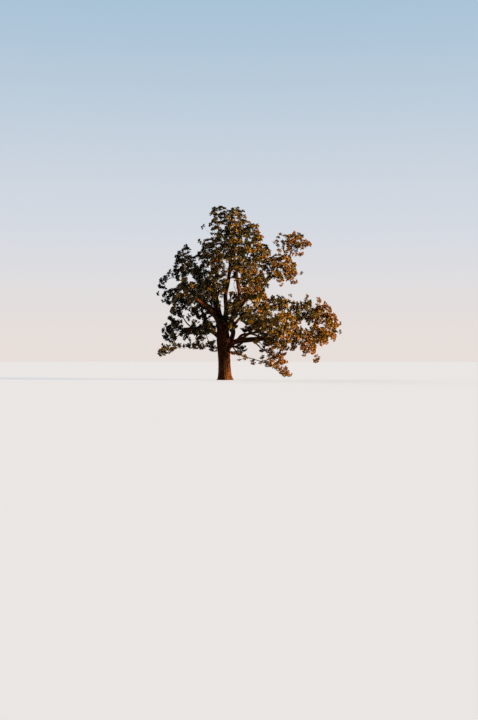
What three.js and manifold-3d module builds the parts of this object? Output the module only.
// A spreading oak that stands alone: a stout trunk with its root flare, the main boughs,
// and the masses of leaves that the boughs carry. Millimetres, +Z up. The origin is the middle
// of the flat cut at ground level, +X is the side with the long low bough, and -Y is the front.
import * as THREE from "three";
import { mergeVertices } from "three/addons/utils/BufferGeometryUtils.js";
import Module from "manifold-3d";

const wasm = await Module();
wasm.setup();

// The trunk.
const TRUNK_RADIUS = 560; // at breast height
const FORK_HEIGHT = 5650;
const FLARE_SPREAD = 170; // how much wider the trunk is where it meets the ground
const FLARE_HEIGHT = 340; // the height over which most of that is lost
const ROOT_RIDGES = 5; // round the flare
const RIDGE_DEPTH = 0.11; // of the radius, at the ground
const SWELL = 60; // the trunk thickens where the lower boughs leave it
const SWELL_HEIGHT = 3500;
const SWELL_LENGTH = 900;
const TRUNK_WAVE = 0.025; // slow unevenness, of the radius
const SHOULDER_RADIUS = 0.9; // the trunk's last ring, between the leaders, of the radius

// The boughs.
const COLLAR_SWELL = 0.45; // a bough is wider where it leaves its parent, of its radius
const COLLAR_LENGTH = 420;
const GNARL = 0.06; // uneven thickness along a bough, of its radius

// How uneven a mass of leaves is, as shares of its half sizes.
const LUMPS = 7;
const CORE_RADIUS = 0.66;
const SMALLEST_LUMP = 0.4;
const LARGEST_LUMP = 0.56;
const LUMP_LIFT = 0.08; // the lumps sit a little above the middle
const LUMP_SPREAD = 0.88; // how near to the top and bottom they come
const LUMP_SCATTER = 0.9; // how far each is moved round, in radians
const GOLDEN_ANGLE = 2.39996;

// How pieces meet.
const SEAT_GAP = 0.5; // between a mass or bough and what carries it
const REACH_SHARE = 1.25; // masses whose reaches end farther apart than this are left as they are
const NEAREST_WALL = 0.2; // of the way between two middles, the nearest to one that their wall may stand

// How finely the solids are faceted.
const TRUNK_SIDES = 18;
const TRUNK_RINGS = 12;
const BOUGH_SIDES = 6;
const BOUGH_RING_SPACING = 800;
const FEWEST_BOUGH_RINGS = 4;
const LARGE_MASS = 1750; // half width or half height from which a mass has finer facets

// Colours, with the leaves more golden towards the sunny right side.
const BARK = { color: 0x5a4636, roughness: 0.95 };
const LEAF_ROUGHNESS = 0.8;
const LEAF_COLOURS = [
  { upTo: -1000, color: 0x3c4522 },
  { upTo: 3500, color: 0x55562a },
  { upTo: Infinity, color: 0x735f2e },
];

// A small generator of repeatable random numbers from 0 to 1.
function seededRandom(seed) {
  let state = seed * 2654435761;
  return () => {
    state = (state + 0x6d2b79f5) | 0;
    let mixed = Math.imul(state ^ (state >>> 15), 1 | state);
    mixed = (mixed + Math.imul(mixed ^ (mixed >>> 7), 61 | mixed)) ^ mixed;
    return ((mixed ^ (mixed >>> 14)) >>> 0) / 4294967296;
  };
}

// The number that a piece's name stands for, so that each piece keeps its shape when others change.
function seedOf(name) {
  return [...name].reduce((sum, letter) => (sum * 31 + letter.charCodeAt(0)) % 100003, 7);
}

function solidFrom(geometry) {
  const bare = geometry.clone();
  bare.deleteAttribute("normal");
  bare.deleteAttribute("uv");
  const merged = mergeVertices(bare, 1e-3);
  const mesh = new wasm.Mesh({
    numProp: 3,
    vertProperties: new Float32Array(merged.attributes.position.array),
    triVerts: new Uint32Array(merged.index.array),
  });
  return new wasm.Manifold(mesh);
}

function geometryFrom(solid) {
  const mesh = solid.getMesh();
  const geometry = new THREE.BufferGeometry();
  geometry.setAttribute("position", new THREE.BufferAttribute(new Float32Array(mesh.vertProperties), 3));
  geometry.setIndex(new THREE.BufferAttribute(new Uint32Array(mesh.triVerts), 1));
  geometry.computeVertexNormals();
  return geometry;
}

// The largest of the bodies that a cut leaves.
function mainBody(solid) {
  return solid.decompose().reduce((best, body) => (body.volume() > best.volume() ? body : best));
}

// A closed limb: a cylinder bent along a curve, with its radius given along and around it.
// grow makes it that much fatter and longer, which gives the seat that its neighbours are cut by.
function limbSolid(curve, radiusAt, sides, rings, grow, flatFoot) {
  const geometry = new THREE.CylinderGeometry(1, 1, 1, sides, rings);
  const frames = curve.computeFrenetFrames(rings);
  const centres = curve.getSpacedPoints(rings);
  const position = geometry.attributes.position;
  const across = new THREE.Vector3();
  for (let i = 0; i < position.count; i++) {
    const along = position.getY(i) + 0.5;
    const ring = Math.round(along * rings);
    const angle = Math.atan2(position.getZ(i), position.getX(i));
    const onAxis = Math.hypot(position.getX(i), position.getZ(i)) < 0.5;
    const radius = onAxis ? 0 : radiusAt(along, angle) + grow;
    if (flatFoot) across.set(Math.cos(angle), Math.sin(angle), 0);
    else {
      across.copy(frames.normals[ring]).multiplyScalar(Math.cos(angle));
      across.addScaledVector(frames.binormals[ring], Math.sin(angle));
    }
    const point = centres[ring].clone().addScaledVector(across, radius);
    if (ring === 0) point.addScaledVector(frames.tangents[0], -grow);
    if (ring === rings) point.addScaledVector(frames.tangents[rings], grow);
    position.setXYZ(i, point.x, point.y, point.z);
  }
  const solid = solidFrom(geometry);
  if (solid.volume() > 0) return solid;
  geometry.index.array.reverse();
  return solidFrom(geometry);
}

const curveThrough = (points) =>
  new THREE.CatmullRomCurve3(points.map((point) => new THREE.Vector3(...point)), false, "centripetal");

// The trunk leans a little to the left as it rises to its fork.
const TRUNK_LINE = [
  [0, 0, 0],
  [-10, 0, 1400],
  [-60, -10, 3000],
  [-140, 0, 4400],
  [-200, 0, FORK_HEIGHT],
];

function trunkRadius(along, angle) {
  const height = along * FORK_HEIGHT;
  const flare = Math.exp(-height / FLARE_HEIGHT);
  const ridges = 1 + RIDGE_DEPTH * flare * Math.cos(ROOT_RIDGES * angle + 0.7);
  const swell = SWELL * Math.exp(-(((height - SWELL_HEIGHT) / SWELL_LENGTH) ** 2));
  const wave = 1 + TRUNK_WAVE * (Math.cos(2 * angle + height / 1500) + Math.cos(3 * angle - height / 900));
  const shoulder = along === 1 ? SHOULDER_RADIUS : 1;
  return (TRUNK_RADIUS + FLARE_SPREAD * flare + swell) * ridges * wave * shoulder;
}

// The boughs: each runs along its line from inside its parent to where it enters a mass of leaves,
// and narrows from its foot to its tip.
const BOUGHS = {
  leader_left: {
    line: [[-330, 0, 4900], [-560, -40, 6400], [-770, -200, 7500], [-900, -950, 8600]],
    foot: 300,
    tip: 170,
  },
  leader_centre: {
    line: [[-60, 0, 4900], [160, 40, 6400], [90, 120, 7700], [310, 140, 8900], [680, -100, 11850]],
    foot: 250,
    tip: 110,
  },
  leader_right: {
    line: [
      [150, 120, 2900], [780, 180, 4200], [700, 220, 5300], [960, 280, 6600],
      [1340, 330, 7850], [1190, 360, 9000], [880, 150, 11850],
    ],
    foot: 240,
    tip: 95,
  },
  low_right_bough: {
    line: [[100, -60, 2850], [900, -120, 3470], [2000, -180, 3660], [4250, -350, 3800]],
    foot: 290,
    tip: 180,
  },
  low_right_fork: {
    line: [[1100, -140, 3520], [1560, -520, 4080], [2400, -1500, 4230], [4000, -3300, 4850]],
    foot: 125,
    tip: 80,
  },
  hanging_stub: {
    line: [[150, -250, 2750], [760, -640, 3080], [1370, -880, 2850]],
    foot: 130,
    tip: 85,
  },
  low_left_bough: {
    line: [[-250, 150, 3850], [-1300, 560, 4520], [-2500, 700, 4780], [-3900, 520, 4680]],
    foot: 190,
    tip: 90,
  },
  mid_left_bough: {
    line: [[-480, 0, 5900], [-1150, -80, 6620], [-1800, -160, 7000], [-2350, -260, 7500]],
    foot: 150,
    tip: 105,
  },
  upper_left_bough: {
    line: [[-720, -150, 7150], [-1250, 260, 8150], [-1850, 750, 9550]],
    foot: 150,
    tip: 100,
  },
  upper_right_bough: {
    line: [[960, 280, 6350], [2050, 800, 7450], [3300, 900, 8550], [4600, 600, 9700]],
    foot: 170,
    tip: 105,
  },
  top_right_bough: {
    line: [[5500, 240, 10700], [6000, 60, 11450], [6150, -160, 12150]],
    foot: 85,
    tip: 60,
  },
  mid_right_bough: {
    line: [[740, 200, 4950], [1950, 950, 6150], [3300, 1150, 6650], [4350, 1050, 6850]],
    foot: 140,
    tip: 90,
  },
  front_left_bough: {
    line: [[-250, -200, 4500], [-900, -1450, 5950], [-2450, -3500, 7250]],
    foot: 180,
    tip: 100,
  },
  front_right_bough: {
    line: [[50, -250, 4300], [850, -1350, 5750], [1750, -2600, 6900], [2350, -3500, 7800]],
    foot: 180,
    tip: 105,
  },
  back_left_bough: {
    line: [[-250, 250, 4300], [-950, 1600, 5900], [-2400, 3750, 8100]],
    foot: 185,
    tip: 105,
  },
  back_right_bough: {
    line: [[0, 280, 4500], [1000, 1600, 6250], [1750, 2700, 7700], [2450, 3400, 8800]],
    foot: 185,
    tip: 105,
  },
  back_low_right_bough: {
    line: [[50, 250, 2850], [1000, 1400, 3560], [2100, 2600, 4200], [3300, 4000, 5750]],
    foot: 165,
    tip: 90,
  },
  back_low_left_bough: {
    line: [[-250, 250, 3500], [-1000, 1700, 4300], [-2150, 3550, 4800]],
    foot: 160,
    tip: 95,
  },
};

// The masses of leaves: the middle of each, its half sizes across, in depth and in height,
// and, for one that slants, how far its right end is turned up, in degrees.
const MASSES = {
  top_left_leaves: { at: [-520, -900, 14480], half: [1000, 1800, 1740] },
  top_right_leaves: { at: [1100, 900, 14500], half: [1150, 1900, 1660] },
  right_shoulder_leaves: { at: [2600, -500, 13350], half: [930, 1900, 1250] },
  upper_left_leaves: { at: [-1150, 700, 11800], half: [1420, 2500, 1450] },
  upper_middle_leaves: { at: [700, -900, 12250], half: [1400, 2300, 1750] },
  upper_right_leaves: { at: [2900, 900, 11600], half: [1450, 2700, 1620] },
  upper_front_leaves: { at: [1600, -3300, 10700], half: [1500, 1900, 1500] },
  upper_back_leaves: { at: [300, 3600, 11300], half: [1900, 1900, 1400] },
  left_upper_leaves: { at: [-3520, -500, 10650], half: [1080, 2200, 1880], tilt: -8 },
  far_left_leaves: { at: [-5120, -250, 9400], half: [1370, 1050, 540], tilt: 45 },
  left_inner_leaves: { at: [-2050, 1300, 10300], half: [1050, 2600, 1400] },
  left_outer_leaves: { at: [-4480, 700, 7760], half: [1390, 2600, 870] },
  left_middle_leaves: { at: [-2650, -900, 7750], half: [1680, 2500, 1420] },
  left_hanging_leaves: { at: [-4320, 900, 6280], half: [860, 2000, 1130] },
  left_inner_low_leaves: { at: [-1600, 900, 6170], half: [1000, 1900, 680] },
  low_left_leaves: { at: [-4500, 500, 4530], half: [1500, 2400, 1050], tilt: 8 },
  low_left_tip_leaves: { at: [-5020, -300, 3000], half: [1370, 1600, 860], tilt: 35 },
  low_left_inner_leaves: { at: [-1950, -1300, 4750], half: [1450, 2200, 1000] },
  low_left_under_leaves: { at: [-2280, 600, 3250], half: [1900, 1900, 680], tilt: -5 },
  centre_left_leaves: { at: [-620, -2000, 8850], half: [1130, 2200, 1750] },
  centre_upper_leaves: { at: [2480, -1000, 9950], half: [1400, 2300, 1250] },
  centre_right_leaves: { at: [2600, -1500, 8160], half: [1450, 2300, 1320] },
  centre_low_leaves: { at: [950, -2200, 6350], half: [1000, 1700, 1500] },
  low_centre_leaves: { at: [2700, -500, 5650], half: [1250, 2200, 1600] },
  right_upper_leaves: { at: [5200, 500, 10080], half: [1600, 2700, 1700] },
  top_right_tuft: { at: [6150, -200, 12650], half: [2000, 1700, 920], tilt: -5 },
  right_middle_leaves: { at: [4800, 1000, 6980], half: [1520, 2600, 950] },
  right_outer_leaves: { at: [7300, 900, 6330], half: [1480, 3100, 1250], tilt: 15 },
  far_right_leaves: { at: [9260, -100, 5150], half: [1230, 2500, 2220], tilt: 18 },
  low_right_leaves: { at: [4950, -900, 4350], half: [2050, 2700, 1600] },
  low_right_outer_leaves: { at: [7720, -950, 3560], half: [1500, 3000, 1490] },
  weeping_leaves: { at: [4300, 50, 2450], half: [1600, 2000, 1310] },
  weeping_tip_leaves: { at: [5300, -100, 980], half: [1300, 1000, 660], tilt: -42 },
  hanging_stub_leaves: { at: [1350, -950, 2400], half: [720, 850, 950] },
  front_left_leaves: { at: [-3000, -4300, 7800], half: [1750, 1900, 1600] },
  front_right_leaves: { at: [2500, -4500, 8150], half: [1500, 1800, 1600] },
  front_low_right_leaves: { at: [4700, -4400, 5000], half: [1850, 1900, 1450] },
  back_left_leaves: { at: [-2900, 4300, 8450], half: [1950, 2000, 1600] },
  back_right_leaves: { at: [2500, 4300, 9100], half: [1600, 2000, 1750] },
  back_low_right_leaves: { at: [4200, 4200, 5950], half: [2050, 2050, 1400] },
  back_low_left_leaves: { at: [-2800, 4050, 4950], half: [1900, 2000, 950] },
};

// A bough narrows evenly from its foot to its tip, with a collar where it leaves its parent.
function boughRadius(bough, length, phase) {
  return (along, angle) => {
    const taper = bough.foot + (bough.tip - bough.foot) * along;
    const collar = 1 + COLLAR_SWELL * Math.exp(-(((along * length) / COLLAR_LENGTH) ** 2));
    const gnarl = 1 + GNARL * Math.sin(9 * along + phase) + 0.4 * GNARL * Math.cos(2 * angle + phase);
    return taper * collar * gnarl;
  };
}

function makeBough(name, bough, grow) {
  const curve = curveThrough(bough.line);
  const length = curve.getLength();
  const rings = Math.max(FEWEST_BOUGH_RINGS, Math.round(length / BOUGH_RING_SPACING));
  const phase = seedOf(name) % 6;
  return limbSolid(curve, boughRadius(bough, length, phase), BOUGH_SIDES, rings, grow, false);
}

function makeTrunk(grow) {
  return limbSolid(curveThrough(TRUNK_LINE), trunkRadius, TRUNK_SIDES, TRUNK_RINGS, grow, true);
}

const DEPTH = new THREE.Vector3(0, 1, 0);

// The lumps of a mass, as balls set inside a ball of unit size so that each touches its skin.
function makeLumps(random) {
  const phase = 2 * Math.PI * random();
  return Array.from({ length: LUMPS }, (_, i) => {
    const up = LUMP_LIFT + (1 - (2 * i + 1) / LUMPS) * LUMP_SPREAD;
    const turn = phase + i * GOLDEN_ANGLE + LUMP_SCATTER * random();
    const flat = Math.sqrt(1 - up * up);
    const radius = THREE.MathUtils.lerp(SMALLEST_LUMP, LARGEST_LUMP, random());
    const way = new THREE.Vector3(flat * Math.cos(turn), flat * Math.sin(turn), up);
    return { centre: way.multiplyScalar(1 - radius), radius };
  });
}

// How far the skin of the core and its lumps lies from the middle, towards a direction.
function lumpyReach(way, lumps) {
  const exits = lumps.map(({ centre, radius }) => {
    const along = way.dot(centre);
    const inside = along * along - centre.lengthSq() + radius * radius;
    return inside > 0 ? along + Math.sqrt(inside) : 0;
  });
  return Math.max(CORE_RADIUS, ...exits);
}

// A mass of leaves: a ball with the skin of its lumps, stretched to its half sizes,
// turned up at its right end and put in its place.
function makeMass(name, mass) {
  const lumps = makeLumps(seededRandom(seedOf(name)));
  const [halfWidth, , halfHeight] = mass.half;
  const geometry = new THREE.IcosahedronGeometry(1, Math.max(halfWidth, halfHeight) >= LARGE_MASS ? 2 : 1);
  const position = geometry.attributes.position;
  const way = new THREE.Vector3();
  for (let i = 0; i < position.count; i++) {
    way.fromBufferAttribute(position, i).normalize();
    way.multiplyScalar(lumpyReach(way, lumps));
    position.setXYZ(i, way.x, way.y, way.z);
  }
  geometry.scale(...mass.half);
  geometry.rotateY(-THREE.MathUtils.degToRad(mass.tilt ?? 0));
  geometry.translate(...mass.at);
  return solidFrom(geometry);
}

// How far a mass reaches from its middle towards a direction.
function reachTowards(mass, way) {
  const level = way.clone().applyAxisAngle(DEPTH, THREE.MathUtils.degToRad(mass.tilt ?? 0));
  return 1 / level.divide(new THREE.Vector3(...mass.half)).length();
}

// Two masses that meet are parted by a plane between them, nearer to the smaller one.
function partFrom(solid, mass, neighbour) {
  const own = new THREE.Vector3(...mass.at);
  const other = new THREE.Vector3(...neighbour.at);
  const way = other.clone().sub(own);
  const distance = way.length();
  way.normalize();
  const ownReach = reachTowards(mass, way);
  const otherReach = reachTowards(neighbour, way.clone().negate());
  if (distance > REACH_SHARE * (ownReach + otherReach)) return solid;
  const nearest = NEAREST_WALL * distance;
  const share = THREE.MathUtils.clamp((distance + ownReach - otherReach) / 2, nearest, distance - nearest);
  const wall = own.addScaledVector(way, share - SEAT_GAP / 2);
  const inwards = way.clone().negate();
  return solid.trimByPlane([inwards.x, inwards.y, inwards.z], inwards.dot(wall));
}

// The whole tree: the trunk first, then each bough cut back from the wood that it grows out of,
// then each mass parted from its neighbours and cut round the boughs that enter it.
const tree = new THREE.Group();
const bark = new THREE.MeshStandardMaterial(BARK);
const seats = [makeTrunk(SEAT_GAP)];

function addPiece(name, solid, material) {
  const mesh = new THREE.Mesh(geometryFrom(solid), material);
  mesh.name = name;
  tree.add(mesh);
}

addPiece("trunk", makeTrunk(0), bark);
for (const [name, bough] of Object.entries(BOUGHS)) {
  let solid = makeBough(name, bough, 0);
  for (const seat of seats) solid = solid.subtract(seat);
  seats.push(makeBough(name, bough, SEAT_GAP));
  addPiece(name, mainBody(solid), bark);
}

const massEntries = Object.entries(MASSES);
for (const [name, mass] of massEntries) {
  let solid = makeMass(name, mass);
  for (const [otherName, neighbour] of massEntries) {
    if (otherName !== name) solid = partFrom(solid, mass, neighbour);
  }
  for (const seat of seats) solid = solid.subtract(seat);
  const { color } = LEAF_COLOURS.find(({ upTo }) => mass.at[0] < upTo);
  addPiece(name, mainBody(solid), new THREE.MeshStandardMaterial({ color, roughness: LEAF_ROUGHNESS }));
}

export default tree;
